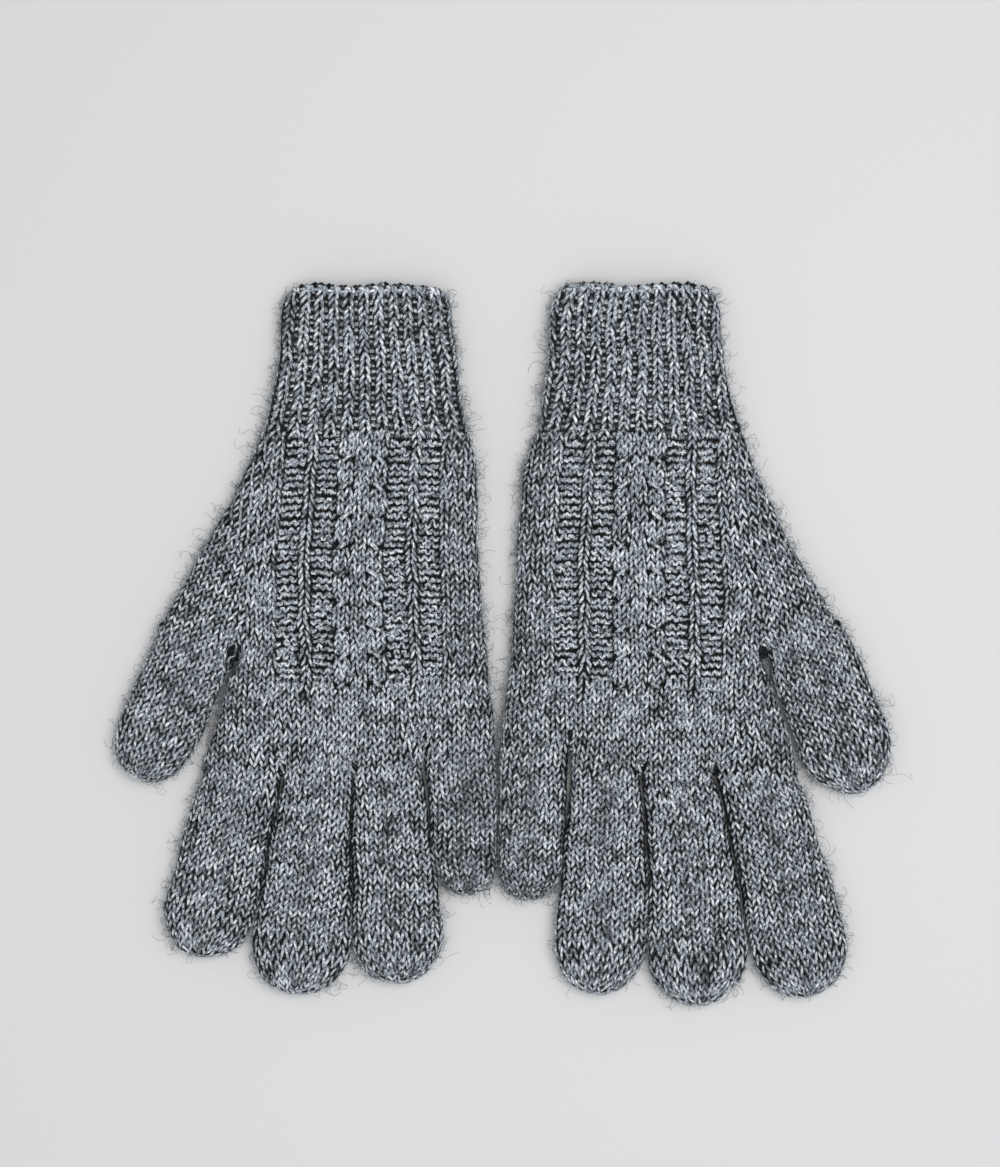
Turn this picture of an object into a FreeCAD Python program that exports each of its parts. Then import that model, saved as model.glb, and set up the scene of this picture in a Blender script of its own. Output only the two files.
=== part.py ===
"""A pair of hand-knitted five-finger gloves, lying flat, backs up, cuffs towards +Y.

Each glove is a flat tube of knitting: cast-on edge, ribbed cuff, hand, thumb gusset, thumb and four
fingers. Every section is a hollow shell, open where the knitting runs on into the next section.
Millimetres and degrees. X runs from the left-hand glove to the right-hand one, Z up from the table.
"across" is measured from the line between the two gloves, out to the thumb side of either glove.
"""
import FreeCAD, Part
import math
import os

import Sketcher

# Driving dimensions: one spreadsheet row each, in millimetres or degrees.
DRIVING = {
    # the fabric, and how thick the empty glove lies
    "wall": 2.4,
    "slanted_wall": 2.8,
    "thickness": 12.0,
    "edge_round": 5.4,
    "clearance": 0.6,
    "overcut": 3.0,
    "midline_space": 0.35,
    # places along the glove, from the middle of its length
    "mouth_place": 140.8,
    "cuff_waist_place": 105.0,
    "wrist_place": 81.0,
    "heel_place": 42.0,
    "crotch_place": -3.9,
    "little_root_place": -36.4,
    "finger_root_place": -49.0,
    # places across the glove
    "mouth_near": 19.0,
    "mouth_far": 85.5,
    "cuff_waist_near": 16.5,
    "cuff_waist_far": 88.5,
    "wrist_near": 13.0,
    "gusset_start": 88.5,
    "wrist_far": 94.5,
    "heel_near": 6.5,
    "knuckle_near": 0.0,
    "little_ring": 28.3,
    "ring_middle": 56.5,
    "middle_far": 84.6,
    "index_near": 86.0,
    "knuckle_far": 117.5,
    "crotch_across": 103.7,
    # the cast-on edge
    "bead_radius": 1.6,
    # the raised panel on the back of the hand
    "panel_rise": 0.9,
    "panel_near": 29.5,
    "panel_far": 79.5,
    "panel_top_near": 31.0,
    "panel_top_far": 76.0,
    "panel_top_place": 79.0,
    "panel_end_place": -17.0,
    # the digits: how far each leans to the thumb side, its width at the tip, how blunt the tip is
    "little_lean": -2.2,
    "ring_lean": -2.3,
    "middle_lean": 7.4,
    "index_lean": 15.2,
    "thumb_turn": 21.5,
    "thumb_root_width": 33.5,
    "little_tip_width": 23.0,
    "ring_tip_width": 37.5,
    "middle_tip_width": 41.0,
    "index_tip_width": 37.5,
    "thumb_tip_width": 36.5,
    "tip_bluntness": 0.8,
    # lengths as the gloves lie: the left one's fingers are ruckled a little shorter
    "left_little_length": 61.0,
    "left_ring_length": 83.2,
    "left_middle_length": 88.0,
    "left_index_length": 74.5,
    "left_thumb_length": 59.5,
    "right_little_length": 63.5,
    "right_ring_length": 86.2,
    "right_middle_length": 91.6,
    "right_index_length": 89.7,
    "right_thumb_length": 63.0,
}

# each finger's root runs between these two places across the hand
FINGERS = {
    "little": ("knuckle_near", "little_ring"),
    "ring": ("little_ring", "ring_middle"),
    "middle": ("ring_middle", "middle_far"),
    "index": ("index_near", "knuckle_far"),
}
PLACE_TOLERANCE = 0.01


class Size:
    """A number that remembers the spreadsheet formula it comes from."""

    def __init__(self, value, formula):
        self.value = value
        self.formula = formula

    def join(self, other, sign, value):
        return Size(value, f"({self.formula} {sign} {other.formula})")

    def __add__(self, other):
        return self.join(other, "+", self.value + other.value)

    def __sub__(self, other):
        return self.join(other, "-", self.value - other.value)

    def __mul__(self, other):
        return self.join(other, "*", self.value * other.value)

    def __truediv__(self, other):
        return self.join(other, "/", self.value / other.value)

    def times(self, factor):
        return Size(self.value * factor, f"({self.formula} * {factor})")

    def sine(self):
        return Size(math.sin(math.radians(self.value)), f"sin({self.formula} * 1deg)")

    def cosine(self):
        return Size(math.cos(math.radians(self.value)), f"cos({self.formula} * 1deg)")


def cell(alias):
    return Size(DRIVING[alias], f"sizes.{alias}")


ZERO = Size(0.0, "0")


def across_at(start, end, along):
    """Where the straight line through two points crosses a place along the glove."""
    slope = (end[0] - start[0]) / (end[1] - start[1])
    return start[0] + slope * (along - start[1])


def driving_sheet(doc):
    sheet = doc.addObject("Spreadsheet::Sheet", "sizes")
    for row, (alias, value) in enumerate(DRIVING.items(), start=1):
        sheet.set(f"A{row}", alias)
        sheet.set(f"B{row}", str(value))
        sheet.setAlias(f"B{row}", alias)
    doc.recompute()


def origin_plane(body, role):
    return next(f for f in body.Origin.OriginFeatures if f.Role == role)


def new_body(doc, label, across=ZERO, along=ZERO, height=ZERO, turn=ZERO):
    """A body placed by the sheet: across, along and above the table, turned about Z."""
    body = doc.addObject("PartDesign::Body", label)
    body.Label = label
    body.setExpression("Placement.Base.x", across.formula)
    body.setExpression("Placement.Base.y", along.formula)
    body.setExpression("Placement.Base.z", height.formula)
    body.setExpression("Placement.Rotation.Angle", turn.formula + " * 1deg")
    return body


def new_sketch(body, name, role):
    sketch = body.newObject("Sketcher::SketchObject", name)
    sketch.AttachmentSupport = [(origin_plane(body, role), "")]
    sketch.MapMode = "FlatFace"
    return sketch


def bind(sketch, constraint, size):
    """Adds a dimension to the sketch and ties it to the sheet."""
    index = sketch.addConstraint(constraint)
    sketch.setExpression(f"Constraints[{index}]", size.formula)


def fix_point(sketch, geometry, end, x, y):
    bind(sketch, Sketcher.Constraint("DistanceX", -1, 1, geometry, end, x.value), x)
    bind(sketch, Sketcher.Constraint("DistanceY", -1, 1, geometry, end, y.value), y)


def outline(body, name, corners):
    """A closed outline of straight sides in plan, each corner dimensioned from the origin."""
    sketch = new_sketch(body, name, "XY_Plane")
    points = [FreeCAD.Vector(x.value, y.value, 0) for x, y in corners]
    for start, end in zip(points, points[1:] + points[:1]):
        sketch.addGeometry(Part.LineSegment(start, end), False)
    for side in range(len(points)):
        sketch.addConstraint(Sketcher.Constraint("Coincident", side, 2, (side + 1) % len(points), 1))
    for side, (x, y) in enumerate(corners):
        fix_point(sketch, side, 1, x, y)
    return sketch


def pad(body, sketch, height):
    feature = body.newObject("PartDesign::Pad", sketch.Name + "_pad")
    feature.Profile = sketch
    feature.setExpression("Length", height.formula)
    body.Document.recompute()
    return feature


def lies_on(item, start, end):
    """Whether all of an edge's or face's corners stand on the upright plane from start to end."""
    run = FreeCAD.Vector(end[0].value - start[0].value, end[1].value - start[1].value, 0).normalize()
    for vertex in item.Vertexes:
        offset = vertex.Point - FreeCAD.Vector(start[0].value, start[1].value, 0)
        if abs(run.x * offset.y - run.y * offset.x) > PLACE_TOLERANCE:
            return False
    return True


def heights(edge):
    return [vertex.Z for vertex in edge.Vertexes]


def is_level(edge):
    return max(heights(edge)) - min(heights(edge)) < PLACE_TOLERANCE


def is_outer(edge):
    """Whether an edge runs along the top or the underside of the glove."""
    top = DRIVING["thickness"]
    return is_level(edge) and min(abs(heights(edge)[0]), abs(heights(edge)[0] - top)) < PLACE_TOLERANCE


def fillet(body, base, name, edges, radius):
    feature = body.newObject("PartDesign::Fillet", name)
    feature.Base = (base, edges)
    feature.setExpression("Radius", radius.formula)
    body.Document.recompute()
    return feature


def upright_edges(base, corners):
    """The names of the upright edges that stand on the given corners."""
    names = []
    for number, edge in enumerate(base.Shape.Edges, start=1):
        first = edge.Vertexes[0].Point
        stands = any(math.hypot(first.x - x.value, first.y - y.value) < PLACE_TOLERANCE for x, y in corners)
        if stands and not is_level(edge):
            names.append(f"Edge{number}")
    return names


def hollow_out(body, name, cavity):
    """Cuts the cavity's outline out of the middle of the thickness, leaving a wall above and below."""
    sketch = outline(body, name + "_cavity", cavity)
    sketch.setExpression("AttachmentOffset.Base.z", (cell("thickness") - cell("wall")).formula)
    pocket = body.newObject("PartDesign::Pocket", name + "_hollow")
    pocket.Profile = sketch
    pocket.setExpression("Length", (cell("thickness") - cell("wall").times(2)).formula)
    before = body.Shape.Volume
    body.Document.recompute()
    if not body.Shape.Volume < before:
        raise RuntimeError(f"{body.Label}'s cavity cut nothing")
    return pocket


def shell(body, name, corners, cavity, open_sides, square_sides=(), tip_radius=None):
    """A flat hollow section of the glove: padded outline, hollowed, then its long edges rounded.

    open_sides are the sides that the knitting runs on through; square_sides stay closed and unrounded.
    Side n runs from corner n to corner n + 1. With a tip radius, corners 2 and 3 are a digit's tip.
    """
    pad(body, outline(body, name, corners), cell("thickness"))
    base = hollow_out(body, name, cavity)
    if tip_radius:
        inner_tip = upright_edges(base, cavity[2:4])
        base = fillet(body, base, name + "_inner_tip", inner_tip, tip_radius - cell("wall"))
        base = fillet(body, base, name + "_tip", upright_edges(base, corners[2:4]), tip_radius)
    sides = {n: (corners[n], corners[(n + 1) % len(corners)]) for n in range(len(corners))}
    plain = [sides[n] for n in (*open_sides, *square_sides)]
    rounded = []
    for number, edge in enumerate(base.Shape.Edges, start=1):
        if is_outer(edge) and not any(lies_on(edge, *side) for side in plain):
            rounded.append(f"Edge{number}")
    fillet(body, base, name + "_edges", rounded, cell("edge_round"))


class Glove:
    """One glove of the pair. side is -1 for the left-hand glove, which lies at -X, and 1 for the right."""

    def __init__(self, doc, hand, side):
        self.doc = doc
        self.hand = hand
        self.side = side

    def label(self, section):
        return f"{self.hand}_{section}"

    def across(self, alias):
        return (cell("midline_space") + cell(alias)).times(self.side)

    def inside(self, alias, direction=1):
        """One wall in from a place across the glove: to the thumb side of it, or with -1 the other side."""
        return self.across(alias) + cell("wall").times(self.side * direction)

    def cuff(self):
        """The ribbed tube from just inside the cast-on edge to the wrist."""
        top = cell("mouth_place") - cell("bead_radius").times(2)
        bottom = cell("wrist_place") + cell("clearance")
        corners = [
            (self.across("mouth_near"), top),
            (self.across("mouth_far"), top),
            (self.across("cuff_waist_far"), cell("cuff_waist_place")),
            (self.across("wrist_far"), bottom),
            (self.across("wrist_near"), bottom),
            (self.across("cuff_waist_near"), cell("cuff_waist_place")),
        ]
        cavity = [
            (self.inside("mouth_near"), top + cell("overcut")),
            (self.inside("mouth_far", -1), top + cell("overcut")),
            (self.inside("cuff_waist_far", -1), cell("cuff_waist_place")),
            (self.inside("wrist_far", -1), bottom - cell("overcut")),
            (self.inside("wrist_near"), bottom - cell("overcut")),
            (self.inside("cuff_waist_near"), cell("cuff_waist_place")),
        ]
        shell(new_body(self.doc, self.label("cuff")), "ribbing", corners, cavity, open_sides=(0, 3))

    def cast_on_edge(self):
        """The corded cast-on edge: a closed bead round the cuff's mouth."""
        middle = (self.across("mouth_near") + self.across("mouth_far")).times(0.5)
        along = cell("mouth_place") - cell("bead_radius")
        half_height = cell("thickness").times(0.5)
        body = new_body(self.doc, self.label("cast_on_edge"), middle, along, half_height)
        bend = half_height - cell("bead_radius")
        reach = (cell("mouth_far") - cell("mouth_near")).times(0.5) - half_height
        path = new_sketch(body, "edge_path", "XZ_Plane")
        r, c = bend.value, reach.value
        up, down = FreeCAD.Vector(0, r, 0), FreeCAD.Vector(0, -r, 0)
        right, left = FreeCAD.Vector(c, 0, 0), FreeCAD.Vector(-c, 0, 0)
        quarter = math.pi / 2
        path.addGeometry(Part.LineSegment(up, right + up), False)
        path.addGeometry(Part.ArcOfCircle(Part.Circle(right, FreeCAD.Vector(0, 0, 1), r), -quarter, quarter), False)
        path.addGeometry(Part.LineSegment(right + down, left + down), False)
        path.addGeometry(
            Part.ArcOfCircle(Part.Circle(left, FreeCAD.Vector(0, 0, 1), r), quarter, 3 * quarter), False
        )
        path.addGeometry(Part.LineSegment(left + up, up), False)
        path.addConstraint(Sketcher.Constraint("Tangent", 0, 2, 1, 2))
        path.addConstraint(Sketcher.Constraint("Tangent", 1, 1, 2, 1))
        path.addConstraint(Sketcher.Constraint("Tangent", 2, 2, 3, 2))
        path.addConstraint(Sketcher.Constraint("Tangent", 3, 1, 4, 1))
        path.addConstraint(Sketcher.Constraint("Coincident", 4, 2, 0, 1))
        fix_point(path, 0, 1, ZERO, bend)
        fix_point(path, 1, 3, reach, ZERO)
        fix_point(path, 3, 3, reach.times(-1), ZERO)
        section = new_sketch(body, "edge_section", "YZ_Plane")
        section.addGeometry(Part.Circle(up, FreeCAD.Vector(0, 0, 1), cell("bead_radius").value), False)
        bind(section, Sketcher.Constraint("Radius", 0, cell("bead_radius").value), cell("bead_radius"))
        fix_point(section, 0, 3, ZERO, bend)
        self.doc.recompute()
        bead = body.newObject("PartDesign::AdditivePipe", "edge_bead")
        bead.Profile = section
        bead.Spine = (path, [f"Edge{n}" for n in range(1, 6)])
        self.doc.recompute()

    def hand_tube(self):
        """The palm and back of the hand, open to the cuff, the gusset and all four fingers."""
        wrist, root = cell("wrist_place"), cell("finger_root_place")
        corners = [
            (self.across("wrist_near"), wrist),
            (self.across("gusset_start"), wrist),
            (self.across("crotch_across"), cell("crotch_place")),
            (self.across("knuckle_far"), root),
            (self.across("little_ring"), root),
            (self.across("little_ring"), cell("little_root_place")),
            (self.across("knuckle_near"), cell("little_root_place")),
            (self.across("heel_near"), cell("heel_place")),
        ]
        over, wall = cell("overcut"), cell("wall")
        crotch = cell("crotch_place") + wall
        notch = cell("little_root_place") + wall
        cavity = [
            (self.inside("wrist_near"), wrist + over),
            (self.across("gusset_start") + over.times(self.side), wrist + over),
            (self.across("crotch_across") + over.times(self.side), crotch),
            (self.inside("crotch_across", -1), crotch),
            (self.inside("knuckle_far", -1), root),
            (self.inside("knuckle_far", -1), root - over),
            (self.inside("little_ring"), root - over),
            (self.inside("little_ring"), notch),
            (self.inside("little_ring", -1), notch),
            (self.inside("little_ring", -1), cell("little_root_place") - over),
            (self.inside("knuckle_near"), cell("little_root_place") - over),
            (self.inside("heel_near"), cell("heel_place")),
        ]
        body = new_body(self.doc, self.label("hand"))
        shell(body, "palm", corners, cavity, open_sides=(0, 1, 3, 5), square_sides=(4,))

    def thumb_root(self):
        """The outer end of the thumb's root, from the crotch along the root line."""
        width, turn = cell("thumb_root_width"), cell("thumb_turn")
        run = (width * turn.cosine()).times(self.side)
        return self.across("crotch_across") + run, cell("crotch_place") + width * turn.sine()

    def thumb_gusset(self):
        """The wedge of increases between the wrist and the thumb."""
        corners = [
            (self.across("gusset_start"), cell("wrist_place")),
            (self.across("wrist_far"), cell("wrist_place")),
            self.thumb_root(),
            (self.across("crotch_across"), cell("crotch_place")),
        ]
        over = cell("overcut")
        outer_edge = corners[1:3]
        above, below = cell("wrist_place") + over, outer_edge[1][1] - over
        inset = cell("slanted_wall").times(self.side)
        cavity = [
            (self.across("gusset_start") - over.times(self.side), above),
            (across_at(*outer_edge, above) - inset, above),
            (across_at(*outer_edge, below) - inset, below),
            (self.across("crotch_across") - over.times(self.side), cell("crotch_place") - over.times(2)),
        ]
        body = new_body(self.doc, self.label("thumb_gusset"))
        shell(body, "wedge", corners, cavity, open_sides=(0, 2, 3))

    def back_panel(self):
        """The raised ribs and cables on the back of the hand."""
        corners = [
            (self.across("panel_top_near"), cell("panel_top_place")),
            (self.across("panel_top_far"), cell("panel_top_place")),
            (self.across("panel_far"), cell("panel_end_place")),
            (self.across("panel_near"), cell("panel_end_place")),
        ]
        body = new_body(self.doc, self.label("back_panel"), height=cell("thickness"))
        pad(body, outline(body, "panel", corners), cell("panel_rise"))

    def digit(self, name, root_width, lean, across, along, turn):
        """A closed tube from its root line, at the body's origin, to a blunt rounded tip."""
        length = cell(f"{self.hand}_{name}_length")
        tip_width = cell(f"{name}_tip_width")
        half_root = root_width.times(0.5 * self.side)
        half_tip = tip_width.times(0.5)
        tip_across = (length * lean.sine()).times(self.side)
        tip_along = (length * lean.cosine()).times(-1)
        slant_across = (half_tip * lean.cosine()).times(self.side)
        slant_along = half_tip * lean.sine()
        corners = [
            (half_root.times(-1), ZERO),
            (half_root, ZERO),
            (tip_across + slant_across, tip_along + slant_along),
            (tip_across - slant_across, tip_along - slant_along),
        ]
        wall = cell("wall")
        inner_root = half_root - wall.times(self.side)
        inner_share = (half_tip - wall) * lean.cosine()
        inner_slant = (half_tip - wall) * lean.sine()
        inner_across = ((length - wall) * lean.sine()).times(self.side)
        inner_along = ((length - wall) * lean.cosine()).times(-1)
        cavity = [
            (inner_root.times(-1), ZERO),
            (inner_root, ZERO),
            (inner_across + inner_share.times(self.side), inner_along + inner_slant),
            (inner_across - inner_share.times(self.side), inner_along - inner_slant),
        ]
        body = new_body(self.doc, self.label(name), across, along, turn=turn)
        radius = half_tip * cell("tip_bluntness")
        shell(body, name, corners, cavity, open_sides=(0,), tip_radius=radius)

    def fingers(self):
        for name, (near, far) in FINGERS.items():
            place = "little_root_place" if name == "little" else "finger_root_place"
            middle = (self.across(near) + self.across(far)).times(0.5)
            width = cell(far) - cell(near) - cell("clearance")
            along = cell(place) - cell("clearance")
            self.digit(name, width, cell(f"{name}_lean"), middle, along, ZERO)

    def thumb(self):
        outer_across, outer_along = self.thumb_root()
        turn = cell("thumb_turn")
        step = cell("clearance")
        middle = (self.across("crotch_across") + outer_across).times(0.5) + (step * turn.sine()).times(self.side)
        along = (cell("crotch_place") + outer_along).times(0.5) - step * turn.cosine()
        width = cell("thumb_root_width") - cell("clearance")
        self.digit("thumb", width, ZERO, middle, along, turn.times(self.side))

    def build(self):
        self.cast_on_edge()
        self.cuff()
        self.hand_tube()
        self.back_panel()
        self.thumb_gusset()
        self.thumb()
        self.fingers()


def export_parts(doc):
    """Checks every object, then writes one file per sub-part."""
    doc.recompute()
    for item in doc.Objects:
        if {"Invalid", "Error"} & set(item.State):
            raise RuntimeError(f"{item.Label} failed: {item.State}")
    bodies = [item for item in doc.Objects if item.isDerivedFrom("PartDesign::Body")]
    for body in bodies:
        shape = body.Shape
        if shape.isNull() or not shape.isValid() or len(shape.Solids) != 1:
            raise RuntimeError(f"{body.Label} isn't one valid solid")
    os.makedirs("parts", exist_ok=True)
    for body in bodies:
        body.Shape.exportStep(f"parts/{body.Label}.step")
        print(body.Label, round(body.Shape.Volume), body.Shape.BoundBox)


def main():
    doc = FreeCAD.newDocument("gloves")
    driving_sheet(doc)
    Glove(doc, "left", -1).build()
    Glove(doc, "right", 1).build()
    export_parts(doc)


main()
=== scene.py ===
"""A pair of hand-knitted gloves: every stitch of the wool, its fuzz, a pale table and soft light.

The knitting is built in millimetres and turned into metres when its mesh is made. X runs from the
left-hand glove to the right-hand one, Y towards the cuffs, Z up from the table. "across" runs from the
line between the gloves out to the thumb side of either one. "course" counts the rounds of knitting from
the top of a section, and "wale" counts its columns of stitches.
"""
import math
from functools import partial

import bpy
import numpy as np
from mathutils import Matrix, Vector


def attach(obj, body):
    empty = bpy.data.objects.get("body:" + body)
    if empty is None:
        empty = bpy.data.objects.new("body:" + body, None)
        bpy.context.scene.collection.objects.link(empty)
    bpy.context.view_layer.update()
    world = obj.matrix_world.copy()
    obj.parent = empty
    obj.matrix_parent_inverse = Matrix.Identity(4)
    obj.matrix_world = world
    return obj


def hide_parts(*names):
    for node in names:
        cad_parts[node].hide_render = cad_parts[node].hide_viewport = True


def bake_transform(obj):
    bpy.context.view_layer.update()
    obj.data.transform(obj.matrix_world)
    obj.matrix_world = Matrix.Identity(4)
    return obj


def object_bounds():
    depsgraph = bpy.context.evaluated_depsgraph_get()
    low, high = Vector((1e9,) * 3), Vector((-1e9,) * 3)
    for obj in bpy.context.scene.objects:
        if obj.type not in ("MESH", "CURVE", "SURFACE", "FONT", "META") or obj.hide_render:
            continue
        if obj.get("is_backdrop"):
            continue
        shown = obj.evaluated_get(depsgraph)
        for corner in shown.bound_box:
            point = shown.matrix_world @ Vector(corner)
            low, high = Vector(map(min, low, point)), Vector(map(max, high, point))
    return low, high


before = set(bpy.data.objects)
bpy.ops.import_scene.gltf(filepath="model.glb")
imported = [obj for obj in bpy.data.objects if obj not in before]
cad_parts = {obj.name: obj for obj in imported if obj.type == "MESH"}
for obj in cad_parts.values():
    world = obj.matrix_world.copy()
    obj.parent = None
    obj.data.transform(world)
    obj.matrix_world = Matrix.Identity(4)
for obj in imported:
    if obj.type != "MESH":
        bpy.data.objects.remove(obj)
cad_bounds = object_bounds()

MM = 0.001
SIDES = {"left": -1, "right": 1}
SPACE = 0.35  # from the line between the gloves to either glove
SEED = 11

# ---- yarn and stitches

YARN_RADIUS = 0.7
STITCH_WIDTH = 3.6
COURSE_HEIGHT = 2.74
RIB_STITCHES = 48
KNIT_SWAY, PURL_SWAY = 0.28, 0.16  # sideways swing of a loop, in stitches
KNIT_RISE, PURL_RISE = 1.0, 1.27  # half the height of a loop, in courses
LOOP_DEPTH = 0.62
UNEVEN, PURL_UNEVEN = 0.08, 0.11  # how uneven the hand-made stitches are, in stitches
DEPTH_UNEVEN = 0.12  # the same, in and out of the fabric
HEAD_START, HEAD_BLEND = 0.8, 0.6  # where the legs of a loop turn into its head, on the cosine of its phase
POINTS_PER_STITCH = 11
YARN_SIDES = 6
TWIST = 0.9  # radians of twist to each millimetre of yarn

# ---- the flat tube of the glove

TOP = 12.0
HALF_HEIGHT = TOP / 2 - YARN_RADIUS - LOOP_DEPTH
FLAT_PLACES = 70
RIM_PLACES = 14
PLACES = 2 * (FLAT_PLACES + RIM_PLACES)
RIM_SHAPE, RIM_STEPS = 2.15, 121
SKIN = 1.2  # from the middle of the fabric out to the face of the yarn
# the same for a rim of a digit, at its root and farther on; fingers press together
OUTER, INNER, FREE = (SKIN, 0.45), (0.5, 0.35), (SKIN, SKIN)
PRESSED = 0.7  # of a finger's length, that presses against the next finger
CREASE_REACH, CREASE_SHADE = 3.4, 0.5  # painted shade: the wool down in the slit between two fingers is painted darker
GUSSET_COURSES = 22  # over which the courses of the gusset turn to lie across the thumb
GUSSET_BEND = 4.0  # to either side of the line where the gusset begins
GUSSET_MARGIN = 1.5  # no stitch is held fixed this near to that line
TOP_HOLD, UNDER_HOLD = 7, 1  # places of a rim over which the wales of either flat side go on
HAND_RIM, CUFF_RIM = 12.0, 10.0
# how far inside the middle of the fabric the near-black sheet of painted shade lies
SHADE_SHEET_OUTER, SHADE_SHEET_INNER = 0.35, 0.75
FINE = 4  # grid lines to each course
SPARE = 2  # courses over which the surface of a section goes on past either end
TINY = 1e-9
WANDER, WANDER_LENGTH = 0.6, 34.0  # how far the soft wool strays from its true line, and over what length
WANDER_WAVES, WAVES_HEIGHT = 6, 2.2  # waves added up, and how high their sum gets

MOUTH, WRIST, CROTCH, LITTLE_ROOT, KNUCKLES = 140.0, 81.0, -3.9, -36.4, -49.0
NEAR_EDGE = {140: 18.8, 104: 16.2, 84: 13.6, 72: 9.4, 57: 8.0, 25: 6.2, -6: 3.8, -40: 0.4, -60: 0.2}
FAR_EDGE = {140: 85.0, 104: 87.8, 92: 90.5, 81: 94.0, 60: 103.0, 8.4: 133.5, -20: 149.0}
CORNER, DROOP, DROOP_COURSES = 8.0, 3.2, 4.0  # the rims of the mouth are lower than its middle
MOUTH_PULL, PULL_LENGTH = 2.6, 9.0  # and drawn in at either side
# the left-hand glove gets narrower by this share, from this place along it down to zero
NARROWER, NARROWER_FROM = 0.018, 60.0
# both cuffs lie this far to the right of their hands, from this place on and over this length
CUFF_SHIFT, SHIFT_FROM, SHIFT_LENGTH = 2.1, 15.0, 85.0
GUSSET_START, CROTCH_ACROSS, KNUCKLE_FAR, LITTLE_RING = 88.5, 103.7, 117.5, 28.3
THUMB_TURN = 21.5

# name: root (near, far), root place, lean, tip width, skins (near, far), length on the left, on the right
DIGITS = {
    "little": ((0.4, 27.4), LITTLE_ROOT, -2.2, 23.0, (OUTER, INNER), 61.0, 63.5),
    "ring": ((29.2, 55.7), KNUCKLES, -2.7, 36.6, (INNER, INNER), 83.2, 86.2),
    "middle": ((57.3, 84.1), KNUCKLES, 6.0, 39.4, (INNER, INNER), 88.0, 91.6),
    "index": ((86.0, 116.9), KNUCKLES, 13.5, 36.4, (INNER, OUTER), 74.5, 89.7),
}
THUMB_ROOT = 33.5
# side: lean, tip width, length
THUMBS = {-1: (22.6, 34.4, 59.5), 1: (THUMB_TURN, 36.8, 63.0)}
NOTCH_GAP = 0.6
# where two digits part: across, along
THUMB_FORK = ((CROTCH_ACROSS, CROTCH),)
LITTLE_FORK = ((LITTLE_RING, LITTLE_ROOT),)
KNUCKLE_FORKS = ((56.5, KNUCKLES), (85.0, KNUCKLES))
# the small holes at a fork: across from it, back into the hand, how far they reach
FINGER_HOLES = ((0.0, 1.6, 1.25),)
THUMB_HOLES = ((0.0, 1.6, 2.1), (1.3, -2.4, 1.7))
HOLE_FADE = 1.8  # times that distance, the pull dies away
FORK_REACH, FORK_HEIGHT = 10.1, 0.1  # how far from a fork the hand is rounded, and how flat it gets there
FORK_GAP = 1.6  # from a fork to the rim of either digit
FORK_LENGTH = 11.0  # the rounding sets in this far before the digits start
CROTCH_COURSE = int(round((WRIST - CROTCH) / COURSE_HEIGHT))
NOTCH_COURSE = int(round((WRIST - LITTLE_ROOT) / COURSE_HEIGHT)) + 1
KNUCKLE_COURSE = int((WRIST - KNUCKLES) / COURSE_HEIGHT) + 1
TIP_LENGTH = 0.58  # of a digit's width at the tip
WIDEST = 0.75  # of the tip's length back from the end, a digit is at its widest
TIP_COURSES = 8
BARE_COURSES = 2.5  # at the very tip, where so little wool has hardly any loose fibres
# the closing loops are also painted lighter, in knit_course
CLOSING_COURSES, CLOSING_RELIEF, CLOSING_FLAT = 2.5, 0.45, 0.8  # the last loops lie higher and flatter
TIP_SHRINK, TIP_FLATTENING = 0.95, 0.6  # how blunt the closing tip is, seen from above and from the side
TIP_END, TIP_HOLE = 0.995, 0.04  # the last loop: of the way into the tip, and of the digit's width
TIP_YARN, DIGIT_PLUMP = 0.8, 0.23  # of the yarn's radius: at the tip, and added farther back
DIGIT_RIM = 0.39  # of a digit's width
DIGIT_STITCH, DIGIT_WIDENING = 0.94, 0.1  # of the hand's stitch: at the root, and added towards the tip
DECREASES = ((0.6, 1), (0.3, 2), (0, 3.2))  # above this share of the digit's width, so many wales are one
LEAN_LENGTH = 16.0  # from the root, over which the courses of a digit turn into its lean
DIGIT_FOLD = (-2.0, 16.0)  # from the root; two places that are worked out, though nothing bends there
WRIST_FOLD = (-4.0, 14.0)  # from the wrist

# ---- the pattern on the back of the hand

PANEL_MIDDLE = 54.2
PURL, RIB, CABLE = 2.95, 4.6, 3.4  # how wide the wales are
KNIT_SHARE = 0.73  # of a pair of wales of the ribbed cuff
RIB_STEP = 0.4  # half as high as its knit wales stand over the purl ones
# the cuff's yarn is plumper, and its purl wales are painted this much lighter
RIB_PLUMP, RIB_PURL_LIGHT = 1.13, 0.12
PANEL = "ppprpppccnnccppprppp"  # p purl, r single rib, c cable, n plain knit
PANEL_END, PANEL_FADE = -17.0, 6.0  # the relief fades out over the last of it
PLAIN_START, PLAIN_LENGTH, PLAIN_WIDTH = 4.0, 16.0, 0.93  # round its end the wales become stockinette
# towards the wrist it gets narrower, and lies nearer to the line between the gloves
TAPER, TAPER_SHIFT, TAPER_START, TAPER_LENGTH = 0.08, 0.6, 25.0, 55.0
WIDTHS = {"p": PURL, "r": RIB, "c": CABLE, "n": CABLE}
RELIEF = {"p": -0.35, "r": 0.65, "c": 0.8, "n": 0.2}
CABLE_COURSES = 4
CABLE_REACH, CABLE_EDGE, CABLE_BLEND = 1.05, 0.35, 0.4  # in wales from the middle of a cable
CABLE_LIFT, CABLE_SINK = 2.0, 0.9  # the back wale sinks, and the front one is lifted over it
# painted light and shade: yarn that the relief raises is painted lighter by this much for each millimetre,
# yarn that it sinks darker
RELIEF_SHADE = 0.08
PURL_SWELL, PURL_LIGHT = 0.03, 0.26  # purl bumps are plumper, and are painted lighter than their gutter

# ---- edge and fuzz

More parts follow.
